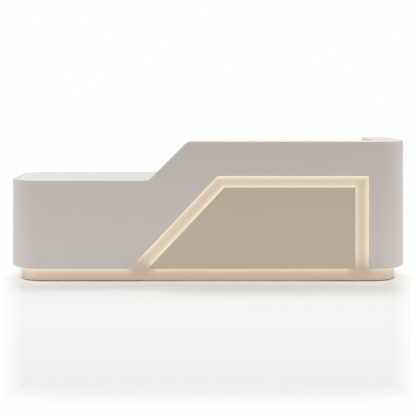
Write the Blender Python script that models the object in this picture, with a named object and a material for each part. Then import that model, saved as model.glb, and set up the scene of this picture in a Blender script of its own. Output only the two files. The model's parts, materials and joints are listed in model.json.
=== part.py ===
"""Reception counter with a wrapped lacquered shell, a lit channel round a floating panel, and a staff side.

Lengths are metres. The visitor's side faces -Y, +X is the visitor's right and +Z is up. The origin is on the
floor under the middle of the footprint.
"""

import math

import bmesh
import bpy
from mathutils import Matrix, Vector

# Overall body
WIDTH = 3.000
DEPTH = 0.800
TALL_HEIGHT = 1.050
LOW_HEIGHT = 0.760
GAP = 0.0003  # between pieces that touch
CHORD_ERROR = 0.0002  # of an arc's facets
WIDEST_FACET = math.radians(22.5)
TURNED_SIDES = 20
WELD_DISTANCE = 0.000001
SMOOTH_ANGLE = math.radians(30)

# Lacquered shell
SHELL_WALL = 0.025
SHELL_BOTTOM = 0.105
FRONT_RADIUS = 0.250
BACK_LEFT_RADIUS = 0.170
BACK_RIGHT_RADIUS = 0.045
LEFT_RETURN_FLAT = 0.020
SLOPE_FOOT_X = -0.444
SLOPE_ANGLE = math.radians(45)
SLOPE_FOOT_RADIUS = 0.050
SLOPE_HEAD_RADIUS = 0.065
PANEL_SEAM_X = 0.200

# Boards
BOARD = 0.018
TOP_THICKNESS = 0.030
LEDGE_DEPTH = 0.215
LEDGE_THICKNESS = 0.036
LEDGE_CORNER_RADIUS = 0.040
GABLE_SETBACK = 0.015
GABLE_FROM_SLOPE = 0.060
TOP_JOINT_FROM_SLOPE = 0.041

# Lit channel
LIGHT_SETBACK = 0.028
LIGHT_WIDTH = 0.012
LIGHT_HEIGHT = 0.008
BATTEN_WIDTH = 0.022
CUTOUT_TOP = 0.7945
CUTOUT_FOOT_X = -0.582
CUTOUT_ANGLE = math.radians(46.7)
CUTOUT_CORNER_RADIUS = 0.035
CHANNEL_TOP = 0.0855
CHANNEL_RIGHT = 0.102
CHANNEL_DIAGONAL = 0.098

# Base
PLINTH_INSET = 0.065
PLINTH_LIFT = 0.007
BASE_UNDERSIDE = 0.120
FOOT_PAD_RADIUS = 0.0085
FOOT_PAD_HEIGHT = 0.005
FOOT_STEM_RADIUS = 0.004
FOOT_STEM_DEPTH = 0.024
FOOT_END_INSET = 0.150

# Staff side
FACE_SETBACK = 0.040
FRONT_THICKNESS = 0.020
REVEAL = 0.003
FINGER_GAP = 0.022
LIP = 0.006
LIP_STRAIGHT = 0.010
SHELF_HEIGHT = 0.430
SHELF_HOUSING = 0.006
SHELF_SETBACK = 0.030

# Piano hinges
LEAF = 0.0015
LEAF_DEPTH = 0.018
LEAF_SPACE = 0.0006
BARREL_RADIUS = 0.004
BARREL_CLEARANCE = 0.0005
CURL_SLIT = math.radians(22)
PIN_RADIUS = 0.002
KNUCKLES = 9

# Drawer pedestal
PEDESTAL_WIDTH = 0.420
PEDESTAL_DEPTH = 0.470
SHEET = 0.002
FLANGE = 0.014
DRAWER_LENGTH = 0.450
SMALL_FRONT_HEIGHT = 0.135
BOX_WALL = 0.0015
BOX_LIFT = 0.022
BOX_DROP = 0.010
SIDE_SPACE = 0.0135
TRACK_HEIGHT = 0.034
TRACK_DEPTH = 0.0105
TRACK_WALL = 0.0015
TRACK_INSET = 0.015
RUNNER_RISE = 0.030
RUNNING_GAP = 0.0005

# Cable grommets
GROMMET_RADIUS = 0.030
GROMMET_FLANGE = 0.005
GROMMET_WALL = 0.0027
GROMMET_LIP = 0.0025
GROMMET_HEIGHT = 0.003
CABLE_SLOT = 0.020
CABLE_SLOT_DEPTH = 0.014
GROMMET_FROM_BOARD = 0.160
GROMMET_FROM_SIDE = 0.300

# Light driver and switch
DRIVER_SIZE = (0.180, 0.030, 0.052)
DRIVER_EAR = 0.018
DRIVER_EAR_THICKNESS = 0.003
DRIVER_DROP = 0.060
DRIVER_INLET = (0.014, 0.022)
DRIVER_INLET_CORNER = 0.0035
SWITCH_SIZE = (0.036, 0.052, 0.034)
SWITCH_SETBACK = 0.028
SWITCH_FROM_PEDESTAL = 0.045
POCKET_SIZE = (0.024, 0.012, 0.022)
ROCKER_PIVOT_DEPTH = 0.005
ROCKER_HALF_HEIGHT = 0.0095
ROCKER_TILT = math.radians(10)

# Planes and lines that several pieces share
LEFT, RIGHT = -WIDTH / 2, WIDTH / 2
FRONT, BACK = -DEPTH / 2, DEPTH / 2
SHELL_INNER = FRONT + SHELL_WALL
BACKING_FRONT = FRONT + PLINTH_INSET
BACKING_REAR = BACKING_FRONT + BOARD
FLAT_LEFT = LEFT + FRONT_RADIUS
FLAT_RIGHT = RIGHT - FRONT_RADIUS
TOP_UNDERSIDE = LOW_HEIGHT - TOP_THICKNESS
LEDGE_UNDERSIDE = TALL_HEIGHT - LEDGE_THICKNESS
BASE_TOP = BASE_UNDERSIDE + BOARD
LEFT_RETURN_END = LEFT + BACK_LEFT_RADIUS + LEFT_RETURN_FLAT
RIGHT_RETURN_END = RIGHT - LEDGE_DEPTH
TOP_JOINT_X = SLOPE_FOOT_X - TOP_JOINT_FROM_SLOPE
FACE = BACK - FACE_SETBACK
FRONT_REAR = FACE - FRONT_THICKNESS
CUTOUT_RIGHT = FLAT_RIGHT - LIGHT_SETBACK - BATTEN_WIDTH - GAP
PEDESTAL_RIGHT = RIGHT_RETURN_END - REVEAL
PEDESTAL_LEFT = PEDESTAL_RIGHT - PEDESTAL_WIDTH

COLOURS = {
    "greige_lacquer": ((0.60, 0.55, 0.51), 0.42, 0.0),
    "pale_top": ((0.66, 0.65, 0.62), 0.40, 0.0),
    "taupe_lacquer": ((0.54, 0.46, 0.37), 0.45, 0.0),
    "cream_lacquer": ((0.66, 0.58, 0.47), 0.55, 0.0),
    "white_melamine": ((0.73, 0.72, 0.70), 0.50, 0.0),
    "birch": ((0.55, 0.39, 0.23), 0.60, 0.0),
    "opal_silicone": ((0.90, 0.82, 0.66), 0.45, 0.0),
    "painted_steel": ((0.56, 0.54, 0.52), 0.45, 0.0),
    "brushed_steel": ((0.55, 0.55, 0.55), 0.35, 1.0),
    "dark_plastic": ((0.04, 0.04, 0.04), 0.50, 0.0),
    "pale_plastic": ((0.72, 0.71, 0.68), 0.50, 0.0),
}


def material(name):
    if name in bpy.data.materials:
        return bpy.data.materials[name]
    colour, roughness, metallic = COLOURS[name]
    made = bpy.data.materials.new(name)
    made.use_nodes = True
    shader = made.node_tree.nodes["Principled BSDF"]
    shader.inputs["Base Color"].default_value = (*colour, 1.0)
    shader.inputs["Roughness"].default_value = roughness
    shader.inputs["Metallic"].default_value = metallic
    return made


def arc(centre, radius, start, end):
    facet = min(WIDEST_FACET, 2 * math.acos(1 - min(1, CHORD_ERROR / radius)))
    steps = max(2, math.ceil(abs(end - start) / facet))
    angles = [start + (end - start) * i / steps for i in range(steps + 1)]
    return [Vector((centre[0] + radius * math.cos(a), centre[1] + radius * math.sin(a))) for a in angles]


def rounded(points, radii):
    """The path with an arc at each corner that radii names by its place in the list."""
    points = [Vector(p) for p in points]
    path = []
    for i, corner in enumerate(points):
        radius = radii.get(i, 0)
        if radius <= 0:
            path.append(corner)
            continue
        before = (points[i - 1] - corner).normalized()
        after = (points[(i + 1) % len(points)] - corner).normalized()
        half = before.angle(after) / 2
        centre = corner + (before + after).normalized() * radius / math.sin(half)
        first = corner + before * radius / math.tan(half) - centre
        turn = math.copysign(math.pi - 2 * half, -before.cross(after))
        start = math.atan2(first.y, first.x)
        path += arc(centre, radius, start, start + turn)
    return path


def offset(points, distance):
    """The open path moved to its right, with mitred corners."""
    points = [Vector(p) for p in points]
    ways = [(b - a).normalized() for a, b in zip(points, points[1:])]
    sides = [Vector((way.y, -way.x)) for way in ways]
    moved = [points[0] + sides[0] * distance]
    for corner, a, b in zip(points[1:-1], sides, sides[1:]):
        moved.append(corner + (a + b) * distance / (1 + a.dot(b)))
    moved.append(points[-1] + sides[-1] * distance)
    return moved


def strip(points, radii, thickness):
    """Outline of a wall along an open path, thick to the path's right, with concentric bends."""
    points = [Vector(p) for p in points]
    inner_radii = {}
    for i, radius in radii.items():
        turn = (points[i] - points[i - 1]).cross(points[i + 1] - points[i])
        inner_radii[i] = radius + math.copysign(thickness, turn)
    return rounded(points, radii) + rounded(offset(points, thickness), inner_radii)[::-1]


def add_prism(mesh, outline, low, high, axis):
    place = {
        "X": lambda a, b, c: (c, a, b),
        "Y": lambda a, b, c: (a, c, b),
        "Z": lambda a, b, c: (a, b, c),
    }[axis]
    face = mesh.faces.new([mesh.verts.new(place(p[0], p[1], low)) for p in outline])
    grown = bmesh.ops.extrude_face_region(mesh, geom=[face])["geom"]
    verts = [v for v in grown if isinstance(v, bmesh.types.BMVert)]
    bmesh.ops.translate(mesh, verts=verts, vec=place(0, 0, high - low))


def add_turned(mesh, profile, centre):
    """A closed profile of (radius, height) points turned about a vertical axis."""
    verts = [mesh.verts.new((r, 0, z)) for r, z in profile]
    edges = [mesh.edges.new(pair) for pair in zip(verts, verts[1:] + verts[:1])]
    whole = {"axis": (0, 0, 1), "cent": (0, 0, 0), "angle": 2 * math.pi, "steps": TURNED_SIDES}
    bmesh.ops.spin(mesh, geom=verts + edges, **whole)
    bmesh.ops.remove_doubles(mesh, verts=mesh.verts, dist=WELD_DISTANCE)
    bmesh.ops.translate(mesh, verts=mesh.verts, vec=centre)


def add_object(name, mesh, finish):
    bmesh.ops.recalc_face_normals(mesh, faces=mesh.faces)
    data = bpy.data.meshes.new(name)
    mesh.to_mesh(data)
    mesh.free()
    data.shade_smooth()
    data.set_sharp_from_angle(angle=SMOOTH_ANGLE)
    made = bpy.data.objects.new(name, data)
    bpy.context.scene.collection.objects.link(made)
    if finish:
        data.materials.append(material(finish))
    return made


def prism(name, outline, low, high, axis, finish):
    mesh = bmesh.new()
    add_prism(mesh, outline, low, high, axis)
    return add_object(name, mesh, finish)


def board(name, x, y, z, finish):
    return prism(name, [(x[0], y[0]), (x[1], y[0]), (x[1], y[1]), (x[0], y[1])], *z, "Z", finish)


def turned(name, profile, centre, finish):
    mesh = bmesh.new()
    add_turned(mesh, profile, centre)
    return add_object(name, mesh, finish)


def combine(body, tool, operation):
    """Cut the hidden tool out of the body, or join it on."""
    tool.hide_render = True
    tool.display_type = "WIRE"
    modifier = body.modifiers.new(tool.name, "BOOLEAN")
    modifier.operation = operation
    modifier.solver = "EXACT"
    modifier.object = tool


def carry(axis_name, point, pieces):
    """Parent moving pieces to an empty on their joint's axis, where they stand."""
    empty = bpy.data.objects.new(axis_name, None)
    empty.location = point
    bpy.context.scene.collection.objects.link(empty)
    for piece in pieces:
        piece.parent = empty
        piece.location = -Vector(point)


def slope_x(height):
    return SLOPE_FOOT_X + (height - LOW_HEIGHT) / math.tan(SLOPE_ANGLE)


def cutout_x(height):
    return CUTOUT_FOOT_X + (height - SHELL_BOTTOM) / math.tan(CUTOUT_ANGLE)


def cutout_path():
    """The channel's outer edge: up the diagonal, along the top and down the right side."""
    foot = (CUTOUT_FOOT_X, SHELL_BOTTOM)
    head = (cutout_x(CUTOUT_TOP), CUTOUT_TOP)
    return [foot, head, (CUTOUT_RIGHT, CUTOUT_TOP), (CUTOUT_RIGHT, SHELL_BOTTOM)]


def feature_path():
    """The floating panel's edge, in the same order."""
    top = CUTOUT_TOP - CHANNEL_TOP
    right = CUTOUT_RIGHT - CHANNEL_RIGHT
    shift = CHANNEL_DIAGONAL / math.sin(CUTOUT_ANGLE)
    head = (cutout_x(top) + shift, top)
    return [(CUTOUT_FOOT_X + shift, SHELL_BOTTOM), head, (right, top), (right, SHELL_BOTTOM)]


def at_level(path, level):
    """The same path with both ends lengthened or cut to one height."""
    ends = []
    for end, inner in ((path[0], path[1]), (path[-1], path[-2])):
        share = (level - inner[1]) / (end[1] - inner[1])
        ends.append(Vector((inner[0] + (end[0] - inner[0]) * share, level)))
    return [ends[0], *path[1:-1], ends[1]]


def inner_plan(left_side, inset):
    """Plan outline along the shell's inside at one end, from its front flat round to its back return."""
    if left_side:
        corners = [(FLAT_LEFT, FRONT), (LEFT, FRONT), (LEFT, BACK), (LEFT_RETURN_END, BACK)]
        radii = {1: FRONT_RADIUS - inset, 2: BACK_LEFT_RADIUS - inset}
        return rounded(offset(corners, inset), radii)
    corners = [(RIGHT_RETURN_END, BACK), (RIGHT, BACK), (RIGHT, FRONT), (FLAT_RIGHT, FRONT)]
    radii = {1: BACK_RIGHT_RADIUS - inset, 2: FRONT_RADIUS - inset}
    return rounded(offset(corners, inset), radii)[::-1]


def build_shell():
    head = (cutout_x(CUTOUT_TOP), CUTOUT_TOP)
    outline = [
        (FLAT_LEFT + GAP, SHELL_BOTTOM),
        (CUTOUT_FOOT_X, SHELL_BOTTOM),
        head,
        (PANEL_SEAM_X - GAP, CUTOUT_TOP),
        (PANEL_SEAM_X - GAP, TALL_HEIGHT),
        (slope_x(TALL_HEIGHT), TALL_HEIGHT),
        (SLOPE_FOOT_X, LOW_HEIGHT),
        (FLAT_LEFT + GAP, LOW_HEIGHT),
    ]
    radii = {2: CUTOUT_CORNER_RADIUS, 5: SLOPE_HEAD_RADIUS, 6: SLOPE_FOOT_RADIUS}
    prism("front_panel", rounded(outline, radii), FRONT, SHELL_INNER, "Y", "greige_lacquer")
    rail = (PANEL_SEAM_X, CUTOUT_RIGHT - GAP)
    board("front_rail", rail, (FRONT, SHELL_INNER), (CUTOUT_TOP, TALL_HEIGHT), "greige_lacquer")

    left = [(FLAT_LEFT, FRONT), (LEFT, FRONT), (LEFT, BACK), (LEFT_RETURN_END, BACK)]
    left_wall = strip(left, {1: FRONT_RADIUS, 2: BACK_LEFT_RADIUS}, SHELL_WALL)
    prism("left_end_shell", left_wall, SHELL_BOTTOM, LOW_HEIGHT, "Z", "greige_lacquer")
    right = [(RIGHT_RETURN_END, BACK), (RIGHT, BACK), (RIGHT, FRONT), (CUTOUT_RIGHT, FRONT)]
    right_wall = strip(right, {1: BACK_RIGHT_RADIUS, 2: FRONT_RADIUS}, SHELL_WALL)
    prism("right_end_shell", right_wall, SHELL_BOTTOM, TALL_HEIGHT, "Z", "greige_lacquer")

    prism("feature_panel", feature_path(), FRONT, SHELL_INNER, "Y", "taupe_lacquer")


def build_backing():
    cap = [(TOP_JOINT_X, LOW_HEIGHT), (SLOPE_FOOT_X, LOW_HEIGHT)]
    cap += [(slope_x(LEDGE_UNDERSIDE), LEDGE_UNDERSIDE)]
    radii = {1: SLOPE_FOOT_RADIUS}
    seat = rounded(offset(cap, BOARD + GAP), {1: SLOPE_FOOT_RADIUS + BOARD + GAP})
    under = rounded(offset(cap, BOARD), {1: SLOPE_FOOT_RADIUS + BOARD})
    top = LEDGE_UNDERSIDE - GAP
    crown = [Vector((slope_x(top), top)), Vector((meet_height(under, top), top))]
    cap_outline = rounded(cap, radii)[:-1] + crown + under[-2::-1]
    prism("slope_cap", cap_outline, SHELL_INNER + GAP, BACKING_REAR, "Y", "greige_lacquer")

    outline = [
        (FLAT_LEFT, BASE_UNDERSIDE),
        (FLAT_RIGHT, BASE_UNDERSIDE),
        (FLAT_RIGHT, top),
        (meet_height(seat, top), top),
        *seat[-2::-1],
        (TOP_JOINT_X, TOP_UNDERSIDE - GAP),
        (FLAT_LEFT, TOP_UNDERSIDE - GAP),
    ]
    prism("backing_board", outline, BACKING_FRONT, BACKING_REAR, "Y", "cream_lacquer")


def meet_height(path, height):
    """Where the path's last straight stretch reaches a height."""
    a, b = path[-2], path[-1]
    return a.x + (b.x - a.x) * (height - a.y) / (b.y - a.y)


def build_tops():
    inset = SHELL_WALL + GAP
    low = [(TOP_JOINT_X - GAP, SHELL_INNER + GAP), *inner_plan(True, inset)]
    low += [(LEFT_RETURN_END + GAP, BACK - inset), (LEFT_RETURN_END + GAP, BACK)]
    low += [(TOP_JOINT_X - GAP, BACK)]
    prism("low_counter_top", low, TOP_UNDERSIDE, LOW_HEIGHT, "Z", "pale_top")

    plan = inner_plan(False, inset)
    top = [(TOP_JOINT_X, BACKING_REAR + GAP), (FLAT_RIGHT + GAP, BACKING_REAR + GAP)]
    top += [(FLAT_RIGHT + GAP, plan[0].y), *plan[1:], (RIGHT_RETURN_END - GAP, BACK - inset)]
    top += [(RIGHT_RETURN_END - GAP, BACK), (TOP_JOINT_X, BACK)]
    worktop = prism("staff_worktop", top, TOP_UNDERSIDE, LOW_HEIGHT, "Z", "pale_top")

    edge = FRONT + LEDGE_DEPTH
    end = rounded(
        [
            (slope_x(LEDGE_UNDERSIDE), LEDGE_UNDERSIDE),
            (slope_x(TALL_HEIGHT), TALL_HEIGHT),
            (CUTOUT_RIGHT - GAP, TALL_HEIGHT),
            (CUTOUT_RIGHT - GAP, LEDGE_UNDERSIDE),
        ],
        {1: SLOPE_HEAD_RADIUS},
    )
    prism("ledge_front", end, SHELL_INNER + GAP, edge, "Y", "pale_top")
    bend = [(RIGHT_RETURN_END, BACK - inset), (RIGHT_RETURN_END, edge), (CUTOUT_RIGHT, edge)]
    bend = rounded(bend, {1: LEDGE_CORNER_RADIUS})
    run = [(CUTOUT_RIGHT, SHELL_INNER + GAP), *plan, *bend[1:]]
    prism("ledge_return", run, LEDGE_UNDERSIDE, TALL_HEIGHT, "Z", "pale_top")

    deep = (BACKING_REAR + GAP, edge - GABLE_SETBACK)
    high = (LOW_HEIGHT + GAP, LEDGE_UNDERSIDE - GAP)
    first = slope_x(TALL_HEIGHT) + GABLE_FROM_SLOPE
    middle = (first + RIGHT_RETURN_END) / 2
    for name, x in (("left", first), ("middle", middle)):
        board(f"ledge_gable_{name}", (x, x + BOARD), deep, high, "white_melamine")
    return worktop


def build_channel():
    deep = (SHELL_INNER + GAP, BACKING_FRONT - GAP)
    middle = (deep[0] + deep[1]) / 2
    lit = (middle - LIGHT_WIDTH / 2, middle + LIGHT_WIDTH / 2)

    outer = at_level(offset(cutout_path(), -LIGHT_SETBACK), BASE_UNDERSIDE)
    outer = [(FLAT_LEFT, BASE_UNDERSIDE), *outer]
    prism("shell_batten", strip(outer[::-1], {}, BATTEN_WIDTH), *deep, "Y", "birch")
    run = at_level(offset(outer[1:], GAP), BASE_UNDERSIDE)
    prism("led_strip_shell", strip(run, {}, LIGHT_HEIGHT), *lit, "Y", "opal_silicone")

    seat = at_level(offset(feature_path(), LIGHT_SETBACK), BASE_UNDERSIDE)
    frame = prism("feature_batten", seat, *deep, "Y", "birch")
    inside = at_level(offset(seat, BATTEN_WIDTH), BASE_UNDERSIDE + BATTEN_WIDTH)
    hole = prism("feature_batten_hole", inside, FRONT, BACKING_REAR, "Y", None)
    combine(frame, hole, "DIFFERENCE")
    run = at_level(offset(seat, -GAP), BASE_UNDERSIDE)
    prism("led_strip_feature", strip(run[::-1], {}, LIGHT_HEIGHT), *lit, "Y", "opal_silicone")

    level = (BASE_UNDERSIDE - GAP - LIGHT_HEIGHT, BASE_UNDERSIDE - GAP)
    near = middle - LIGHT_WIDTH / 2 - FRONT
    left = [(outer[1][0], FRONT), (LEFT, FRONT), (LEFT, BACK - BACK_LEFT_RADIUS)]
    right = [(RIGHT, BACK - BACK_RIGHT_RADIUS), (RIGHT, FRONT), (outer[-1][0], FRONT)]
    for name, path in (("left", left), ("right", right)):
        wall = strip(offset(path, near), {1: FRONT_RADIUS - near}, LIGHT_WIDTH)
        prism(f"led_strip_plinth_{name}", wall, *level, "Z", "opal_silicone")
    board("led_strip_plinth_middle", (seat[0].x, seat[-1].x), lit, level, "opal_silicone")


def build_base():
    high = (PLINTH_LIFT, BASE_UNDERSIDE - GAP)
    inset = SHELL_WALL + GAP
    corners = [(RIGHT, BACK), (RIGHT, FRONT), (LEFT, FRONT), (LEFT, BACK), (LEFT_RETURN_END, BACK)]
    path = offset(corners, PLINTH_INSET)
    path[0].y -= PLINTH_INSET
    bend = FRONT_RADIUS - PLINTH_INSET
    radii = {1: bend, 2: bend, 3: BACK_LEFT_RADIUS - PLINTH_INSET}
    skirt = prism("plinth_front", strip(path, radii, BOARD), *high, "Z", "cream_lacquer")

    rear = BACK - PLINTH_INSET
    gable = TOP_JOINT_X + BOARD / 2
    left = [(gable, BACKING_REAR + GAP), (gable, rear), (LEFT_RETURN_END + GAP, rear)]
    left_rail = prism("plinth_rear_left", strip(left[::-1], {}, BOARD), *high, "Z", "cream_lacquer")
    right = [(PEDESTAL_LEFT, BACKING_REAR + GAP), (PEDESTAL_LEFT, rear)]
    right += [(RIGHT - PLINTH_INSET - BOARD - GAP, rear)]
    right_rail = prism("plinth_rear_right", strip(right, {}, BOARD), *high, "Z", "cream_lacquer")

    level = (BASE_UNDERSIDE, BASE_TOP)
    plan = inner_plan(True, inset)
    start = BACKING_REAR + GAP
    outline = [(gable, start), (FLAT_LEFT - GAP, start), (FLAT_LEFT - GAP, plan[0].y)]
    outline += [*plan[1:], (LEFT_RETURN_END, FACE), (gable, FACE)]
    prism("base_board_left", outline, *level, "Z", "white_melamine")
    plan = inner_plan(False, inset)
    back = FRONT_REAR - GAP
    outline = [(PEDESTAL_LEFT, start), (FLAT_RIGHT + GAP, start), (FLAT_RIGHT + GAP, plan[0].y)]
    outline += [*plan[1:], (RIGHT_RETURN_END, back), (PEDESTAL_LEFT, back)]
    prism("base_board_right", outline, *level, "Z", "white_melamine")

    middle = BACKING_FRONT + BOARD / 2
    behind = rear - BOARD / 2
    ends = (FLAT_LEFT + FOOT_END_INSET, FLAT_RIGHT - FOOT_END_INSET)
    places = [(skirt, ends[0], middle), (skirt, sum(ends) / 2, middle), (skirt, ends[1], middle)]
    places += [(left_rail, LEFT_RETURN_END + FOOT_END_INSET, behind)]
    places += [(left_rail, gable - FOOT_END_INSET, behind)]
    places += [(right_rail, PEDESTAL_LEFT + FOOT_END_INSET, behind)]
    for number, (plinth, x, y) in enumerate(places, 1):
        build_foot(number, plinth, x, y)


def build_foot(number, plinth, x, y):
    top = PLINTH_LIFT + FOOT_STEM_DEPTH
    profile = [
        (0, 0),
        (FOOT_PAD_RADIUS, 0),
        (FOOT_PAD_RADIUS, FOOT_PAD_HEIGHT / 2),
        (FOOT_STEM_RADIUS, FOOT_PAD_HEIGHT),
        (FOOT_STEM_RADIUS, top),
        (0, top),
    ]
    turned(f"levelling_foot_{number}", profile, (x, y, 0), "painted_steel")
    bore = FOOT_STEM_RADIUS + GAP
    hole = [(0, 0), (bore, 0), (bore, top + GAP), (0, top + GAP)]
    combine(plinth, turned(f"levelling_foot_bore_{number}", hole, (x, y, 0), None), "DIFFERENCE")


def pull_section(height):
    """A front's section as (depth, height) from its outer face, with a hooked finger lip along the top."""
    cove = FRONT_THICKNESS - LIP
    start = height - LIP_STRAIGHT
    hook = arc((-FRONT_THICKNESS, start), cove, 0, -math.pi / 2)
    return [(0, 0), (0, height), (-LIP, height), *hook, (-FRONT_THICKNESS, 0)]


def build_cupboard():
    inside = (LEFT_RETURN_END + BOARD, TOP_JOINT_X - BOARD / 2)
    high = (BASE_TOP + GAP, TOP_UNDERSIDE - GAP)
    slot = (SHELF_HEIGHT - GAP, SHELF_HEIGHT + BOARD + GAP)
    deep = (BACKING_REAR + GAP, FACE)
    for name, face, way in (("left", inside[0], -1), ("right", inside[1], 1)):
        back = face + way * BOARD
        groove = face + way * SHELF_HOUSING
        section = [(back, high[0]), (face, high[0]), (face, slot[0]), (groove, slot[0])]
        section += [(groove, slot[1]), (face, slot[1]), (face, high[1]), (back, high[1])]
        prism(f"cupboard_side_{name}", section, *deep, "Y", "white_melamine")
    reach = SHELF_HOUSING - GAP
    shelf = (inside[0] - reach, inside[1] + reach)
    tall = (SHELF_HEIGHT, SHELF_HEIGHT + BOARD)
    board("cupboard_shelf", shelf, (deep[0], FRONT_REAR - SHELF_SETBACK), tall, "white_melamine")

    side = GAP + LEAF + LEAF_SPACE / 2
    swing = (BASE_TOP + REVEAL, TOP_UNDERSIDE - REVEAL)
    width = (inside[1] - inside[0] - 4 * side - FINGER_GAP) / 2
    for name, jamb, way in (("left", inside[0], 1), ("right", inside[1], -1)):
        axis = (jamb + way * side, FACE + BARREL_RADIUS + BARREL_CLEARANCE)
        section = [(axis[0] + way * (side + across), FACE + depth) for depth, across in pull_section(width)]
        door = prism(f"cupboard_door_{name}", section, *swing, "Z", "greige_lacquer")
        leaf = build_hinge(name, axis, way, swing)
        carry(f"door_axis_{name}", (*axis, swing[0]), [door, leaf])


def leaf_section(axis, way):
    """Plan of a hinge leaf: a flat plate whose edge curls round the pin."""
    near = LEAF_SPACE / 2
    far = near + LEAF
    bore = BARREL_RADIUS - LEAF
    outer_start = math.atan2(-math.sqrt(BARREL_RADIUS**2 - far**2), far)
    inner_start = math.atan2(-math.sqrt(bore**2 - near**2), near)
    tip = inner_start + 2 * math.pi - CURL_SLIT
    reach = BARREL_CLEARANCE + BARREL_RADIUS + LEAF_DEPTH
    curl = arc((0, 0), BARREL_RADIUS, outer_start, tip) + arc((0, 0), bore, tip, inner_start)
    points = [Vector((near, -reach)), Vector((far, -reach)), *curl]
    return [(axis[0] + way * p.x, axis[1] + p.y) for p in points]


def build_hinge(name, axis, way, span):
    """Both leaves and the pin of one piano hinge. The door's leaf is returned."""
    leaves = {}
    for owner, side in (("frame", -way), ("door", way)):
        section = leaf_section(axis, side)
        leaves[owner] = prism(f"hinge_{owner}_leaf_{name}", section, *span, "Z", "brushed_steel")
    room = BARREL_RADIUS + BARREL_CLEARANCE - GAP / 2
    square = [(-room, -room), (room, -room), (room, room), (-room, room)]
    square = [(axis[0] + x, axis[1] + y) for x, y in square]
    pitch = (span[1] - span[0]) / KNUCKLES
    slots = {"frame": bmesh.new(), "door": bmesh.new()}
    for i in range(KNUCKLES):
        owner = "door" if i % 2 == 0 else "frame"
        low = span[0] + i * pitch - GAP
        add_prism(slots[owner], square, low, low + pitch + 2 * GAP, "Z")
    for owner, mesh in slots.items():
        combine(leaves[owner], add_object(f"hinge_{owner}_slots_{name}", mesh, None), "DIFFERENCE")
    pin = arc(axis, PIN_RADIUS, 0, 2 * math.pi)[:-1]
    prism(f"hinge_pin_{name}", pin, *span, "Z", "brushed_steel")
    return leaves["door"]


def channel_section(seat, tip, middle, height):
    """Section of a C-shaped rail with its web at seat and its flanges reaching to tip."""
    wall = math.copysign(TRACK_WALL, tip - seat)
    low, high = middle - height / 2, middle + height / 2
    return [
        (seat, low),
        (tip, low),
        (tip, low + TRACK_WALL),
        (seat + wall, low + TRACK_WALL),
        (seat + wall, high - TRACK_WALL),
        (tip, high - TRACK_WALL),
        (tip, high),
        (seat, high),
    ]


def drawer_levels():
    """Lower and upper edge of each drawer front, from the bottom one up."""
    top = TOP_UNDERSIDE - FINGER_GAP
    levels = []
    for _ in range(2):
        levels.append((top - SMALL_FRONT_HEIGHT, top))
        top -= SMALL_FRONT_HEIGHT + FINGER_GAP
    levels.append((BASE_UNDERSIDE + REVEAL, top))
    return dict(zip(("top", "middle", "bottom"), levels))


def build_pedestal():
    high = (BASE_TOP + GAP, TOP_UNDERSIDE - GAP)
    far = FRONT_REAR - PEDESTAL_DEPTH
    near = FRONT_REAR - GAP
    levels = drawer_levels()
    rails = {name: low + BOX_LIFT + RUNNER_RISE for name, (low, _) in levels.items()}
    walls = {"left": (PEDESTAL_LEFT, 1), "right": (PEDESTAL_RIGHT, -1)}
    track = (near - DRAWER_LENGTH + TRACK_INSET, near - TRACK_INSET)
    for side, (face, way) in walls.items():
        path = [(face + way * FLANGE, far), (face, far), (face, near)]
        outline = strip(path[::way], {}, SHEET)
        wall = prism(f"pedestal_side_{side}", outline, *high, "Z", "painted_steel")
        seat = face + way * SHEET / 2
        tip = face + way * (SHEET + TRACK_DEPTH)
        for name, middle in rails.items():
            section = channel_section(seat, tip, middle, TRACK_HEIGHT)
            combine(wall, prism(f"track_{side}_{name}", section, *track, "Y", None), "UNION")
    across = (PEDESTAL_LEFT + SHEET + GAP, PEDESTAL_RIGHT - SHEET - GAP)
    deep = (far + SHEET + GAP, far + SHEET * 2 + GAP)
    board("pedestal_back", across, deep, high, "painted_steel")

    for name, (low, top) in levels.items():
        section = [(FACE + depth, low + height) for depth, height in pull_section(top - low)]
        front = prism(f"drawer_front_{name}", section, PEDESTAL_LEFT, PEDESTAL_RIGHT, "X", "greige_lacquer")
        box = build_drawer_box(name, low + BOX_LIFT, top, rails[name], track)
        carry(f"drawer_axis_{name}", ((PEDESTAL_LEFT + PEDESTAL_RIGHT) / 2, FACE, low), [front, box])


def build_drawer_box(name, low, front_top, rail, track):
    """An open steel tray with the moving half of each side's rail on it."""
    cove = FRONT_THICKNESS - LIP
    high = front_top - LIP_STRAIGHT - cove - BOX_DROP
    x = (PEDESTAL_LEFT + SHEET + SIDE_SPACE, PEDESTAL_RIGHT - SHEET - SIDE_SPACE)
    y = (FRONT_REAR - GAP - DRAWER_LENGTH, FRONT_REAR - GAP)
    box = board(f"drawer_box_{name}", x, y, (low, high), "painted_steel")
    room_x = (x[0] + BOX_WALL, x[1] - BOX_WALL)
    room_y = (y[0] + BOX_WALL, y[1] - BOX_WALL)
    room_z = (low + BOX_WALL, high + BOX_DROP)
    combine(box, board(f"drawer_room_{name}", room_x, room_y, room_z, None), "DIFFERENCE")
    height = TRACK_HEIGHT - 2 * (TRACK_WALL + RUNNING_GAP)
    reach = SIDE_SPACE - TRACK_WALL - RUNNING_GAP
    for side, face, way in (("left", x[0], -1), ("right", x[1], 1)):
        section = channel_section(face - way * BOX_WALL / 2, face + way * reach, rail, height)
        combine(box, prism(f"runner_{name}_{side}", section, *track, "Y", None), "UNION")
    return box


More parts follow.
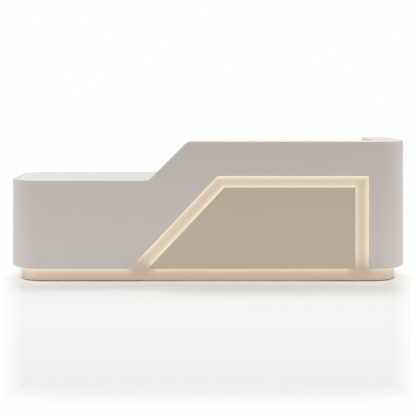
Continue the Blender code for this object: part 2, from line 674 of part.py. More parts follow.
def build_grommets(worktop):
    places = {"left": TOP_JOINT_X + GROMMET_FROM_SIDE, "right": PEDESTAL_LEFT - GROMMET_FROM_SIDE}
    tube = GROMMET_RADIUS - GAP
    bore = tube - GROMMET_WALL
    flange = GROMMET_RADIUS + GROMMET_FLANGE
    ring = [
        (bore - GROMMET_LIP, -GROMMET_LIP),
        (bore, -2 * GROMMET_LIP),
        (bore, -TOP_THICKNESS),
        (tube, -TOP_THICKNESS),
        (tube, GAP),
        (flange, GAP),
        (flange, GROMMET_HEIGHT / 2),
        (flange - GROMMET_HEIGHT / 2, GROMMET_HEIGHT),
        (bore, GROMMET_HEIGHT),
        (bore, 0),
        (bore - GROMMET_LIP, 0),
    ]
    lid = bore - GAP
    disc = [(0, GAP), (lid, GAP), (lid, GROMMET_HEIGHT), (0, GROMMET_HEIGHT)]
    past = (-TOP_THICKNESS - GROMMET_HEIGHT, GROMMET_HEIGHT)
    hole = [(0, past[0]), (GROMMET_RADIUS, past[0]), (GROMMET_RADIUS, past[1]), (0, past[1])]
    for name, x in places.items():
        centre = (x, BACKING_REAR + GROMMET_FROM_BOARD, LOW_HEIGHT)
        combine(worktop, turned(f"grommet_hole_{name}", hole, centre, None), "DIFFERENCE")
        turned(f"grommet_ring_{name}", ring, centre, "dark_plastic")
        cap = turned(f"grommet_cap_{name}", disc, centre, "dark_plastic")
        slot_x = (x - CABLE_SLOT / 2, x + CABLE_SLOT / 2)
        slot_y = (centre[1] + lid - CABLE_SLOT_DEPTH, centre[1] + flange)
        slot_z = (LOW_HEIGHT - GROMMET_HEIGHT, LOW_HEIGHT + GROMMET_HEIGHT * 2)
        slot = board(f"grommet_slot_{name}", slot_x, slot_y, slot_z, None)
        combine(cap, slot, "DIFFERENCE")
        carry(f"grommet_axis_{name}", centre, [cap, slot])


def build_driver():
    length, depth, height = DRIVER_SIZE
    middle = (TOP_JOINT_X + PEDESTAL_LEFT) / 2
    x = (middle - length / 2, middle + length / 2)
    y = (BACKING_REAR + GAP, BACKING_REAR + GAP + depth)
    top = TOP_UNDERSIDE - DRIVER_DROP
    driver = board("led_driver", x, y, (top - height, top), "pale_plastic")
    ears = (x[0] - DRIVER_EAR, x[1] + DRIVER_EAR)
    plate = board("driver_ears", ears, (y[0], y[0] + DRIVER_EAR_THICKNESS), (top - height, top), None)
    combine(driver, plate, "UNION")
    wide, deep = DRIVER_INLET
    centre = (y[0] + DRIVER_EAR_THICKNESS + y[1]) / 2, top - height / 2
    inlet = [
        (centre[0] - wide / 2, centre[1] - wide / 2),
        (centre[0] + wide / 2, centre[1] - wide / 2),
        (centre[0] + wide / 2, centre[1] + wide / 2),
        (centre[0] - wide / 2, centre[1] + wide / 2),
    ]
    cut = rounded(inlet, {2: DRIVER_INLET_CORNER, 3: DRIVER_INLET_CORNER})
    socket = prism("driver_inlet", cut, x[1] - deep, x[1] + DRIVER_EAR, "X", None)
    combine(driver, socket, "DIFFERENCE")


def build_switch():
    wide, deep, tall = SWITCH_SIZE
    right = PEDESTAL_LEFT - SWITCH_FROM_PEDESTAL
    face = BACK - SWITCH_SETBACK
    top = TOP_UNDERSIDE - GAP
    x = (right - wide, right)
    housing = board("switch_housing", x, (face - deep, face), (top - tall, top), "dark_plastic")
    middle = (sum(x) / 2, top - tall / 2)
    half = POCKET_SIZE[0] / 2
    pocket_z = (middle[1] - POCKET_SIZE[2] / 2, middle[1] + POCKET_SIZE[2] / 2)
    pocket = board(
        "switch_pocket",
        (middle[0] - half, middle[0] + half),
        (face - POCKET_SIZE[1], face + POCKET_SIZE[1]),
        pocket_z,
        None,
    )
    combine(housing, pocket, "DIFFERENCE")

    rise = ROCKER_HALF_HEIGHT * math.tan(ROCKER_TILT)
    crown = ROCKER_PIVOT_DEPTH - rise
    heel = ROCKER_PIVOT_DEPTH - GAP
    section = [
        Vector((crown, 0)),
        Vector((crown + rise, ROCKER_HALF_HEIGHT)),
        Vector((-heel, ROCKER_HALF_HEIGHT - rise)),
        Vector((-heel, rise - ROCKER_HALF_HEIGHT)),
        Vector((crown + rise, -ROCKER_HALF_HEIGHT)),
    ]
    pivot = Vector((face - ROCKER_PIVOT_DEPTH, middle[1]))
    tilted = [pivot + Matrix.Rotation(ROCKER_TILT, 2) @ p for p in section]
    side = half - GAP
    rocker = prism("switch_rocker", tilted, middle[0] - side, middle[0] + side, "X", "pale_plastic")
    carry("switch_axis", (middle[0], *pivot), [rocker])


def main():
    for old in list(bpy.data.objects):
        bpy.data.objects.remove(old)
    build_shell()
    build_backing()
    worktop = build_tops()
    build_channel()
    build_base()
    build_cupboard()
    build_pedestal()
    build_grommets(worktop)
    build_driver()
    build_switch()


main()
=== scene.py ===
import functools
import json
import math

import bmesh
import bpy
import numpy as np
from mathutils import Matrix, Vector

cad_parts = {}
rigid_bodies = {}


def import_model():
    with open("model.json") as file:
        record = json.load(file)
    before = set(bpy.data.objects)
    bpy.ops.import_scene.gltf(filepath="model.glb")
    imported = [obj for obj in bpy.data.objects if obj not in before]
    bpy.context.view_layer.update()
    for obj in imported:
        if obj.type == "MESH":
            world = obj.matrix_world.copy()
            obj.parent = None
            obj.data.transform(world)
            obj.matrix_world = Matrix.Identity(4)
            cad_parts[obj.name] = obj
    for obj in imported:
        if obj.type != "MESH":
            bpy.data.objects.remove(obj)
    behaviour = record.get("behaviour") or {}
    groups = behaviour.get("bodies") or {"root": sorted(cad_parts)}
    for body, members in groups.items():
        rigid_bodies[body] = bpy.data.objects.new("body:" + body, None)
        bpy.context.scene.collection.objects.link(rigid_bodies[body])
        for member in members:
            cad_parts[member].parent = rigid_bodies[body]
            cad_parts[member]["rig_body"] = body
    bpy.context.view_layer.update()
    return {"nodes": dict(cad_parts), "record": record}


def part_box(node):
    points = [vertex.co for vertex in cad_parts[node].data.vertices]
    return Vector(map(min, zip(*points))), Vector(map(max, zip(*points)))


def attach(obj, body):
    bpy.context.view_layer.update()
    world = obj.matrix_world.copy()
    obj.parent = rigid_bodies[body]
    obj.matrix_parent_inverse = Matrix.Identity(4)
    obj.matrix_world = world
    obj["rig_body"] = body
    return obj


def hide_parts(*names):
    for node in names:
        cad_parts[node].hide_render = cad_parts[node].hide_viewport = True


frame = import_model()
slotOf = {row["node"]: row["material_slot"] for row in frame["record"]["subparts"]}


# Shader maths

class Wire:  # one output socket; Python's operators on it add Math nodes
    def __init__(self, paint, socket):
        self.paint = paint
        self.socket = socket

    def maths(self, operation, other=0.0, flipped=False):
        first, second = (other, self) if flipped else (self, other)
        return self.paint.node("ShaderNodeMath", {"operation": operation}, {0: first, 1: second})

    def __add__(self, other):
        return self.maths("ADD", other)

    def __sub__(self, other):
        return self.maths("SUBTRACT", other)

    def __rsub__(self, other):
        return self.maths("SUBTRACT", other, True)

    def __mul__(self, other):
        return self.maths("MULTIPLY", other)

    def __truediv__(self, other):
        return self.maths("DIVIDE", other)

    def __pow__(self, other):
        return self.maths("POWER", other)

    def __rpow__(self, other):
        return self.maths("POWER", other, True)

    __radd__ = __add__
    __rmul__ = __mul__

    def positive(self):
        return self.maths("MAXIMUM", 0.0)

    def clamped(self, most=1.0):
        return self.positive().maths("MINIMUM", most)

    def fading(self, length):  # 1 at no distance, and about a third as much after each further length
        return math.e ** (self * (-1 / length))

    def swing(self, size):  # a noise of 0 to 1 as a change to either side
        return (self - 0.5) * size


class Paint:  # the node tree of a material or the world
    def __init__(self, owner):
        owner.use_nodes = True
        self.owner = owner
        self.tree = owner.node_tree

    def node(self, kind, settings=None, sockets=None, out=0):
        made = self.tree.nodes.new(kind)
        for key, value in (settings or {}).items():
            setattr(made, key, value)
        for key, value in (sockets or {}).items():
            self.feed(made.inputs[key], value)
        return Wire(self, made.outputs[out])

    def feed(self, socket, value):
        if isinstance(value, Wire):
            self.tree.links.new(value.socket, socket)
        else:
            socket.default_value = value

    def place(self, kind="Object"):  # x, y and z; those of a piece are the frame's own at rest
        spot = self.node("ShaderNodeTexCoord", out=kind)
        return [self.node("ShaderNodeSeparateXYZ", sockets={0: spot}, out=axis) for axis in range(3)]

    def noise(self, scale, detail, stretch=(1.0, 1.0, 1.0)):
        spot = self.node("ShaderNodeTexCoord", out="Object")
        spot = self.node("ShaderNodeVectorMath", {"operation": "MULTIPLY"}, {0: spot, 1: stretch})
        return self.node("ShaderNodeTexNoise", sockets={"Vector": spot, "Scale": scale, "Detail": detail})

    def mix(self, share, first, second):
        sockets = {0: share, 6: (*first, 1.0), 7: (*second, 1.0)}
        return self.node("ShaderNodeMix", {"data_type": "RGBA"}, sockets, 2)

    def scaled(self, colour, factor):
        return self.node("ShaderNodeVectorMath", {"operation": "SCALE"}, {0: colour, "Scale": factor})

    def bump(self, height, strength, distance):
        sockets = {"Height": height, "Strength": strength, "Distance": distance}
        return self.node("ShaderNodeBump", sockets=sockets)

    def principled(self, **sockets):
        shader = self.tree.nodes["Principled BSDF"]
        for key, value in sockets.items():
            self.feed(shader.inputs[key.replace("_", " ")], value)


def newPaint(name):
    return Paint(bpy.data.materials.new(name))


# Finishes; a noise is given as its scale, its detail and, where it is drawn out, its stretch

lacquers = {
    "greige_lacquer": {"colour": (0.614, 0.558, 0.510), "rough": 0.42, "peel": 0.05, "coat": 0.30},
    "pale_top": {"colour": (0.695, 0.678, 0.646), "rough": 0.55, "peel": 0.05, "coat": 0.05},
    "taupe_lacquer": {"colour": (0.553, 0.467, 0.372), "rough": 0.45, "peel": 0.05, "coat": 0.15},
    "cream_lacquer": {"colour": (0.666, 0.549, 0.440), "rough": 0.55, "peel": 0.08, "coat": 0.0},
}
spray = {
    "cloud": (1.7, 3.0),
    "pigment": (260.0, 2.0),
    "peel": (420.0, 1.0),
    "wave": (9.0, 1.0),
    "cloudShare": 0.7,  # in the colour, and the pigment has the rest
    "tint": 0.035,  # darker and paler than the plain colour
    "cloudRough": 0.08,
    "peelRough": 0.04,
    "peelHeight": 0.3,  # beside the wave's
    "depth": 0.0015,
    "coatRough": 0.22,
}


def lacquer(slot):  # sprayed board: a faint cloud, fine pigment, orange peel and a long ripple
    look = lacquers[slot]
    paint = newPaint(slot)
    noises = ("cloud", "pigment", "peel", "wave")
    cloud, pigment, peel, wave = [paint.noise(*spray[key]) for key in noises]
    share = cloud * spray["cloudShare"] + pigment * (1 - spray["cloudShare"])
    tints = (1 - spray["tint"], 1 + spray["tint"])
    dark, pale = [[min(1.0, c * tint) for c in look["colour"]] for tint in tints]
    rough = look["rough"] + cloud.swing(spray["cloudRough"]) + peel.swing(spray["peelRough"])
    normal = paint.bump(peel * spray["peelHeight"] + wave, look["peel"], spray["depth"])
    paint.principled(Base_Color=paint.mix(share, dark, pale), Roughness=rough, Normal=normal)
    paint.principled(Coat_Weight=look["coat"], Coat_Roughness=spray["coatRough"])
    return paint


glow = {"colour": (0.782, 0.782, 0.657), "fade": 0.0316}  # at a strip, and the length over which it fades


def segmentGap(x, z, start, end):  # distance from (x, z) to a straight strip, with its ends
    length = math.dist(start, end)
    ux, uz = (end[0] - start[0]) / length, (end[1] - start[1]) / length
    along = ((x - start[0]) * ux + (z - start[1]) * uz).clamped(length)
    dx = x - start[0] - along * ux
    dz = z - start[1] - along * uz
    return (dx * dx + dz * dz).maths("SQRT")


def lineGap(x, z, line):
    gaps = [segmentGap(x, z, start, end) for start, end in zip(line, line[1:])]
    return functools.reduce(lambda least, gap: least.maths("MINIMUM", gap), gaps)


def litLacquer(slot, channel, plinth, ends):
    # the boards behind the strips: light falls off with the distance to each run, and the channel's runs
    # die away between two heights over the plinth
    paint = lacquer(slot)
    x, _, z = paint.place()
    lit = paint.node("ShaderNodeAttribute", {"attribute_name": "lit"}, out="Fac")
    above, below = [
        sum(lineGap(x, z, run).fading(glow["fade"]) for run in runs)
        for runs in (channel, plinth)
    ]
    low, high, power = ends
    share = ((z - low) / (high - low)).clamped() ** power
    light = paint.scaled(glow["colour"], (above * share + below) * lit)
    paint.principled(Emission_Color=light, Emission_Strength=1.0)
    return paint


grains = {
    "white_melamine": {  # pressed decor paper: pearl structure and a trace of speckle
        "fine": (620.0, 2.0),
        "broad": (4.0, 3.0),
        "fineShare": 0.5,
        "dark": (0.70, 0.69, 0.665),
        "pale": (0.76, 0.75, 0.73),
        "rough": 0.46,
        "fineRough": 0.16,
        "broadRough": 0.0,
        "relief": (0.12, 0.0004),  # strength and depth
    },
    "birch": {  # planed batten: long grain along the desk, fine pores
        "fine": (700.0, 2.0, (0.08, 1.0, 1.0)),
        "broad": (30.0, 4.0, (0.12, 1.0, 1.0)),
        "fineShare": 0.0,
        "dark": (0.44, 0.30, 0.17),
        "pale": (0.62, 0.46, 0.29),
        "rough": 0.60,
        "fineRough": 0.2,
        "broadRough": 0.0,
        "relief": (0.2, 0.0003),
    },
    "painted_steel": {  # baked powder on sheet steel: a tight pebble
        "fine": (800.0, 2.0),
        "broad": (6.0, 2.0),
        "fineShare": 0.4,
        "dark": (0.53, 0.515, 0.49),
        "pale": (0.59, 0.575, 0.55),
        "rough": 0.44,
        "fineRough": 0.2,
        "broadRough": 0.0,
        "relief": (0.25, 0.0004),
    },
    "brushed_steel": {  # drawn strip: fine lines along the hinge, with duller patches
        "fine": (1500.0, 2.0, (1.0, 1.0, 0.012)),
        "broad": (14.0, 3.0),
        "fineShare": 1.0,
        "dark": (0.44, 0.44, 0.43),
        "pale": (0.62, 0.61, 0.60),
        "rough": 0.39,
        "fineRough": 0.14,
        "broadRough": 0.12,
        "relief": (0.1, 0.0002),
        "metal": 1.0,
    },
    "dark_plastic": {  # moulded: spark-eroded grain with a slight handling sheen
        "fine": (1100.0, 2.0),
        "broad": (25.0, 2.0),
        "fineShare": 0.4,
        "dark": (0.020, 0.020, 0.021),
        "pale": (0.038, 0.037, 0.036),
        "rough": 0.46,
        "fineRough": 0.08,
        "broadRough": 0.14,
        "relief": (0.18, 0.0003),
    },
}
grains["pale_plastic"] = grains["dark_plastic"] | {
    "dark": (0.63, 0.62, 0.59),
    "pale": (0.70, 0.69, 0.665),
    "rough": 0.42,
}


def grained(slot):  # a fine noise that also makes the relief, and a broad one
    look = grains[slot]
    paint = newPaint(slot)
    fine, broad = paint.noise(*look["fine"]), paint.noise(*look["broad"])
    share = fine * look["fineShare"] + broad * (1 - look["fineShare"])
    colour = paint.mix(share, look["dark"], look["pale"])
    rough = look["rough"] + fine.swing(look["fineRough"]) + broad.swing(look["broadRough"])
    paint.principled(Base_Color=colour, Roughness=rough, Normal=paint.bump(fine, *look["relief"]))
    paint.principled(Metallic=look.get("metal", 0.0))
    return paint


opal = {
    "milk": (90.0, 2.0),
    "skin": (0.86, 0.80, 0.68),
    "dim": (0.95, 0.78, 0.54),
    "bright": (1.0, 0.86, 0.64),
    "rough": 0.4,
    "milkRough": 0.1,
    "strength": 0.85,
}


def opalSilicone(slot):  # lit sleeve: a milky skin, a little brighter in places
    paint = newPaint(slot)
    milk = paint.noise(*opal["milk"])
    light = paint.mix(milk, opal["dim"], opal["bright"])
    paint.principled(Base_Color=(*opal["skin"], 1.0), Roughness=opal["rough"] + milk * opal["milkRough"])
    paint.principled(Emission_Color=light, Emission_Strength=opal["strength"])
    return paint


# Outlines and meshes

curves = {
    "facet": 4.0,  # degrees to a step of an arc
    "fewest": 3,  # steps to an arc
    "arrisSteps": 4,
}
tolerance = {"point": 1e-6, "seam": 1e-5, "straight": 1e-5, "bend": 1e-9}


def roundedOutline(corners, radii, facet=curves["facet"]):
    # every corner with a radius becomes an arc: centre + radius * (cos, sin), tangent to both its sides
    corners = np.asarray(corners, float)
    turns = zip(corners, np.roll(corners, 1, 0), np.roll(corners, -1, 0), radii)
    parts = []
    for corner, before, after, radius in turns:
        if radius == 0:
            parts.append(corner[None])
            continue
        before = (before - corner) / np.linalg.norm(before - corner)
        after = (after - corner) / np.linalg.norm(after - corner)
        half = math.acos(np.clip(before @ after, -1, 1)) / 2
        centre = corner + (before + after) / np.linalg.norm(before + after) * radius / math.sin(half)
        first = corner + before * radius / math.tan(half) - centre
        turn = math.copysign(math.pi - 2 * half, before[1] * after[0] - before[0] * after[1])
        steps = max(curves["fewest"], math.ceil(abs(turn) / math.radians(facet)))
        angle = math.atan2(first[1], first[0]) + turn * np.linspace(0, 1, steps + 1)
        parts.append(centre + radius * np.stack([np.cos(angle), np.sin(angle)], 1))
    points = np.concatenate(parts)
    return points[np.linalg.norm(points - np.roll(points, 1, 0), axis=1) > tolerance["point"]]


def insetOutline(points, distances):
    # every side moves inwards by its own distance, and a corner is where two moved sides cross
    along = np.roll(points, -1, 0) - points
    along /= np.linalg.norm(along, axis=1)[:, None]
    ahead = np.stack([-along[:, 1], along[:, 0]], 1)
    behind = np.roll(ahead, 1, 0)
    farther, nearer = np.roll(distances, 1), distances
    dot = (ahead * behind).sum(1)
    bend = np.maximum(1 - dot**2, tolerance["bend"])
    crossed = behind * ((farther - nearer * dot) / bend)[:, None]
    crossed += ahead * ((nearer - farther * dot) / bend)[:, None]
    level = ahead * ((farther + nearer) / 2)[:, None]
    return points + np.where((bend < tolerance["straight"])[:, None], level, crossed)


def sweptBoard(outline, weights, span, axis, rounds):
    # a board's side carried round its outline: over a quarter turn q at each face the inset is
    # round * (1 - sin q) and the height round * (1 - cos q); weights scale the inset of each side
    q = np.linspace(0, math.pi / 2, curves["arrisSteps"] + 1)
    inward, upward = 1 - np.sin(q), 1 - np.cos(q)
    insets = np.concatenate([rounds[0] * inward, rounds[1] * inward[::-1]])
    levels = np.concatenate([span[0] + rounds[0] * upward, span[1] - rounds[1] * upward[::-1]])
    rings = np.stack([insetOutline(outline, weights * inset) for inset in insets])
    heights = np.broadcast_to(levels[:, None, None], rings.shape[:2] + (1,))
    grid = np.concatenate([rings, heights], 2)
    order = {"X": (2, 0, 1), "Y": (0, 2, 1), "Z": (0, 1, 2)}[axis]
    count = len(outline)
    low = np.arange(len(insets) - 1)[:, None] * count + np.arange(count)
    after = np.roll(low, -1, 1)
    sides = np.stack([low, after, after + count, low + count], -1).reshape(-1, 4)
    caps = [np.arange(count)[::-1], np.arange(count) + (len(insets) - 1) * count]
    faces = [*sides.tolist(), *[cap.tolist() for cap in caps]]
    if axis == "Y":
        faces = [face[::-1] for face in faces]
    return grid.reshape(-1, 3)[:, order], faces


meshes = {
    "sharp": 40.0,  # degrees between two faces at which the shading breaks on a new piece
    "copySharp": 30.0,  # the same on a node's own shape
    "easeFrom": 35.0,  # degrees at which its edge is eased
    "flat": 0.3,  # degrees below which its faces merge
    "weld": 0.00001,
    "easeSegments": 3,
    "normalWeight": 100,
}


def addPiece(name, verts, faces, paint, body, nodes=(), slot=None):
    mesh = bpy.data.meshes.new(name)
    mesh.from_pydata(verts.tolist(), [], faces)
    mesh.shade_smooth()
    mesh.set_sharp_from_angle(angle=math.radians(meshes["sharp"]))
    return wearPiece(name, mesh, paint, body, nodes)


def wearPiece(name, mesh, paint, body, nodes):
    piece = bpy.data.objects.new(name, mesh)
    bpy.context.scene.collection.objects.link(piece)
    mesh.materials.clear()
    mesh.materials.append(paint.owner)
    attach(piece, body)
    if nodes:
        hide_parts(*nodes)
    return piece


def steadyNormals(piece):  # large flats keep their own normal beside small rounds
    settle = piece.modifiers.new("normals", "WEIGHTED_NORMAL")
    settle.keep_sharp = True
    settle.weight = meshes["normalWeight"]


def camel(name):
    first, *rest = name.split("_")
    return first + "".join(word.capitalize() for word in rest)


def dressedCopy(node, paint, rounding):  # a node's own shape, merged, with its sharp edges eased
    source = frame["nodes"][node]
    flat, sharp, easeFrom = [math.radians(meshes[key]) for key in ("flat", "copySharp", "easeFrom")]
    short = max(meshes["weld"], rounding / 2)  # steps too short to ease go
    work = bmesh.new()
    work.from_mesh(source.data)
    bmesh.ops.remove_doubles(work, verts=work.verts, dist=short)
    bmesh.ops.dissolve_limit(work, angle_limit=flat, verts=work.verts, edges=work.edges)
    mesh = bpy.data.meshes.new(camel(node))
    work.to_mesh(mesh)
    work.free()
    mesh.shade_smooth()
    mesh.set_sharp_from_angle(angle=sharp)
    piece = wearPiece(camel(node), mesh, paint, source["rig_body"], [node])
    if rounding:
        ease = piece.modifiers.new("ease", "BEVEL")
        ease.width = rounding
        ease.segments = meshes["easeSegments"]
        ease.limit_method = "ANGLE"
        ease.angle_limit = easeFrom
        ease.harden_normals = True
    return piece


# Shell

shell = {
    "arris": 0.0030,
    "hiddenArris": 0.0006,
    "frontRadius": 0.250,
    "backLeftRadius": 0.170,
    "backRightRadius": 0.045,
    "returnFlat": 0.020,
    "slopeFootX": -0.444,
    "slopeAngle": 45.0,
    "slopeFootRadius": 0.050,
    "slopeHeadRadius": 0.065,
    "cutoutFootX": -0.582,
    "cutoutAngle": 46.7,
    "cutoutFootRadius": 0.006,
    "cutoutRadius": 0.035,
    "ledgeDepth": 0.215,
}
panel = {"arris": 0.003, "channelTop": 0.0855, "channelRight": 0.102, "channelDiagonal": 0.098}
strips = {
    "outerTop": 0.0045,  # each run's distance behind the edge that hides it
    "outerSide": 0.022,
    "outerDiagonal": 0.0114,
    "innerTop": 0.0214,
    "innerSide": 0.011,
    "innerDiagonal": 0.0176,
    "outerFeet": (0.175, 0.118),  # the heights at which a run ends, left and right
    "innerFeet": (0.125, 0.118),
    "ends": (0.095, 0.225, 0.7),  # the heights between which the channel's light dies away, and its power
    "plinthLevels": (0.111, 0.113, 0.120),  # left, middle, right
    "plinthClear": (0.042, 0.068, 0.072, 0.071),  # from the feet of the channel
}

(left, front, bottom), (flatLeft, back, lowTop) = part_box("left_end_shell")
(cutoutRight, _, _), (right, _, tallTop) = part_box("right_end_shell")
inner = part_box("front_panel")[1].y
seam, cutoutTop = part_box("front_rail")[0].x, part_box("front_rail")[0].z
wall = inner - front


def diagonalX(height):
    return shell["cutoutFootX"] + (height - bottom) / math.tan(math.radians(shell["cutoutAngle"]))


def slopeX(height):
    return shell["slopeFootX"] + (height - lowTop) / math.tan(math.radians(shell["slopeAngle"]))


def sideWeights(outline, seams):  # 1 on sides that show an arris, 0 on the straight sides named as seams
    ends = np.roll(outline, -1, 0)
    weights = np.ones(len(outline))
    for axis, place in seams:
        starts, stops = [abs(points[:, axis] - place) < tolerance["seam"] for points in (outline, ends)]
        weights[starts & stops] = 0
    return weights


def shellBoard(name, outline, seams, node, paint):  # an upright board between the front and inner planes
    weights = sideWeights(outline, [(0, x) for x in seams])
    mesh = sweptBoard(outline, weights, (front, inner), "Y", (shell["arris"], shell["hiddenArris"]))
    steadyNormals(addPiece(name, *mesh, paint, "desk", [node], "greige_lacquer"))


def shellFront(paint):
    corners = [
        (flatLeft, bottom),
        (shell["cutoutFootX"], bottom),
        (diagonalX(cutoutTop), cutoutTop),
        (seam, cutoutTop),
        (seam, tallTop),
        (slopeX(tallTop), tallTop),
        (shell["slopeFootX"], lowTop),
        (flatLeft, lowTop),
    ]
    radii = [0, shell["cutoutFootRadius"], shell["cutoutRadius"], 0]
    radii += [0, shell["slopeHeadRadius"], shell["slopeFootRadius"], 0]
    shellBoard("shellFront", roundedOutline(corners, radii), [flatLeft, seam], "front_panel", paint)


def shellRail(paint):
    corners = [(seam, cutoutTop), (cutoutRight, cutoutTop), (cutoutRight, tallTop), (seam, tallTop)]
    shellBoard("shellRail", np.array(corners), [seam, cutoutRight], "front_rail", paint)


def shellEnd(name, corners, radii, top, paint, node):
    # a bent wall: the outer path and the same path moved in by the wall, closed by the two ends
    outer = np.asarray(corners, float)
    way = np.sign(outer[1, 0] - outer[0, 0])
    moved = outer.copy()
    moved[0] += (0, wall)
    moved[1] += (-way * wall, wall)
    moved[2] += (-way * wall, -wall)
    moved[3] += (0, -wall)
    closed = np.concatenate([outer, moved[::-1]])
    arcs = [0, radii[0], radii[1], 0, 0, radii[1] - wall, radii[0] - wall, 0]
    if way < 0:
        closed, arcs = closed[::-1], arcs[::-1]
    outline = roundedOutline(closed, arcs)
    weights = sideWeights(outline, [(0, corners[0][0])])
    inside = (abs(outline[:, 0] - outer[1, 0]) > wall / 2) & (outline[:, 1] > front + wall / 2)
    inside &= outline[:, 1] < back - wall / 2
    corner = np.hypot(*(outline - (outer[1] - (way * radii[0], -radii[0]))).T)
    rear = np.hypot(*(outline - (outer[2] - (way * radii[1], radii[1]))).T)
    bent = (abs(corner - radii[0]) < wall / 2) & (outline[:, 1] < front + radii[0])
    bent |= (abs(rear - radii[1]) < wall / 2) & (outline[:, 1] > back - radii[1])
    weights[inside & ~bent] *= shell["hiddenArris"] / shell["arris"]
    mesh = sweptBoard(outline, weights, (bottom, top), "Z", (shell["arris"], shell["arris"]))
    steadyNormals(addPiece(name, *mesh, paint, "desk", [node], "greige_lacquer"))


def featurePath():  # the floating panel's edges: its top, its right side, and its diagonal as x over height
    top, side = cutoutTop - panel["channelTop"], cutoutRight - panel["channelRight"]
    shift = panel["channelDiagonal"] / math.sin(math.radians(shell["cutoutAngle"]))
    return top, side, lambda height: diagonalX(height) + shift


def featurePanel(paint):
    top, side, leftX = featurePath()
    corners = [(leftX(bottom), bottom), (side, bottom), (side, top), (leftX(top), top)]
    outline = roundedOutline(corners, [0, panel["arris"], panel["arris"], panel["arris"]])
    rounds = (panel["arris"], shell["hiddenArris"])
    mesh = sweptBoard(outline, np.ones(len(outline)), (front, inner), "Y", rounds)
    steadyNormals(addPiece("featurePanel", *mesh, paint, "desk", ["feature_panel"], "taupe_lacquer"))


def archRun(diagonal, shift, high, side, feet):  # up the diagonal, along the top and down the right side
    start, stop = feet
    return [(diagonal(start) + shift, start), (diagonal(high) + shift, high), (side, high), (side, stop)]


def stripRuns():  # the lit runs as lines in (x, z): round the opening and the panel, and along the plinth
    lean = math.sin(math.radians(shell["cutoutAngle"]))
    high, side = cutoutTop + strips["outerTop"], cutoutRight + strips["outerSide"]
    outer = archRun(diagonalX, -strips["outerDiagonal"] / lean, high, side, strips["outerFeet"])
    top, end, leftX = featurePath()
    high, side = top - strips["innerTop"], end - strips["innerSide"]
    around = archRun(leftX, strips["innerDiagonal"] / lean, high, side, strips["innerFeet"])
    clear = strips["plinthClear"]
    stops = [left, shell["cutoutFootX"] - clear[0], leftX(bottom) + clear[1]]
    stops += [end - clear[2], cutoutRight + clear[3], right]
    spans = zip(strips["plinthLevels"], stops[::2], stops[1::2])
    plinth = [[(start, level), (stop, level)] for level, start, stop in spans]
    return [outer, around], plinth


greige = lacquer("greige_lacquer")
shellFront(greige)
shellRail(greige)
returnEnd = left + shell["backLeftRadius"] + shell["returnFlat"]
leftPath = [(flatLeft, front), (left, front), (left, back), (returnEnd, back)]
leftRadii = (shell["frontRadius"], shell["backLeftRadius"])
shellEnd("shellLeftEnd", leftPath, leftRadii, lowTop, greige, "left_end_shell")
rightPath = [(cutoutRight, front), (right, front), (right, back), (right - shell["ledgeDepth"], back)]
rightRadii = (shell["frontRadius"], shell["backRightRadius"])
shellEnd("shellRightEnd", rightPath, rightRadii, tallTop, greige, "right_end_shell")
featurePanel(lacquer("taupe_lacquer"))
print("shell: four bent and flat boards, one floating panel")


# Boards, drawers, doors and fittings

finishes = {
    "greige_lacquer": greige,
    "pale_top": lacquer("pale_top"),
    "cream_lacquer": litLacquer("cream_lacquer", *stripRuns(), strips["ends"]),
    "opal_silicone": opalSilicone("opal_silicone"),
    **{slot: grained(slot) for slot in grains},
}
easing = {
    "greige_lacquer": 0.0012,
    "pale_top": 0.0010,
    "cream_lacquer": 0.0012,
    "white_melamine": 0.0007,
    "birch": 0.0010,
    "opal_silicone": 0.0015,
    "painted_steel": 0.0003,
    "brushed_steel": 0.0,
    "dark_plastic": 0.0004,
    "pale_plastic": 0.0006,
}
litBoards = {"nodes": ("backing_board", "plinth_front"), "outward": 0.05, "tilt": 0.5}


def markLit(piece):  # 1 on the upright faces that look outwards, which are those that the strips light
    count = len(piece.data.polygons)
    centres, normals = np.zeros(count * 3), np.zeros(count * 3)
    piece.data.polygons.foreach_get("center", centres)
    piece.data.polygons.foreach_get("normal", normals)
    centres, normals = centres.reshape(-1, 3), normals.reshape(-1, 3)
    outward = (centres[:, :2] * normals[:, :2]).sum(1) > litBoards["outward"]
    upright = abs(normals[:, 2]) < litBoards["tilt"]
    lit = piece.data.attributes.new("lit", "FLOAT", "FACE")
    lit.data.foreach_set("value", (outward & upright).astype(np.float32))


redrawn = {"front_panel", "front_rail", "left_end_shell", "right_end_shell", "feature_panel"}
redrawn |= {f"grommet_{kind}_{side}" for kind in ("ring", "cap") for side in ("left", "right")}
for node in sorted(set(frame["nodes"]) - redrawn):
    piece = dressedCopy(node, finishes[slotOf[node]], easing[slotOf[node]])
    if node in litBoards["nodes"]:
        markLit(piece)
print("dressed:", len(frame["nodes"]) - len(redrawn), "nodes with eased edges")


# Cable grommets

grommet = {
    "tube": 0.0297,
    "bore": 0.0270,
    "lip": 0.0025,
    "space": 0.0003,
    "footRound": 0.0006,  # the rounds of the ring's edges
    "flangeFoot": 0.0003,
    "flangeEdge": 0.0014,
    "mouth": 0.0005,
    "lipRound": 0.0004,
    "facet": 15.0,
    "capRounds": (0.0002, 0.0005),  # below and above
    "slotWidth": 0.020,
    "slotDepth": 0.014,
    "slotCorner": 0.0025,
    "rimCorner": 0.0010,
    "steps": 96,
}


def turnedRing(section, centre, steps):
    # a closed section of (radius, height) carried round an upright axis: radius * (cos a, sin a), height
    angle = np.linspace(0, 2 * math.pi, steps + 1)[:-1, None]
    radius, height = section.T
    level = np.broadcast_to(height, (steps, len(height)))
    grid = np.stack([radius * np.cos(angle), radius * np.sin(angle), level], 2) + centre
    index = np.arange(steps * len(section)).reshape(steps, -1)
    ahead, above = np.roll(index, -1, 0), np.roll(index, -1, 1)
    faces = np.stack([index, ahead, np.roll(ahead, -1, 1), above], 2).reshape(-1, 4)
    return grid.reshape(-1, 3), faces.tolist()


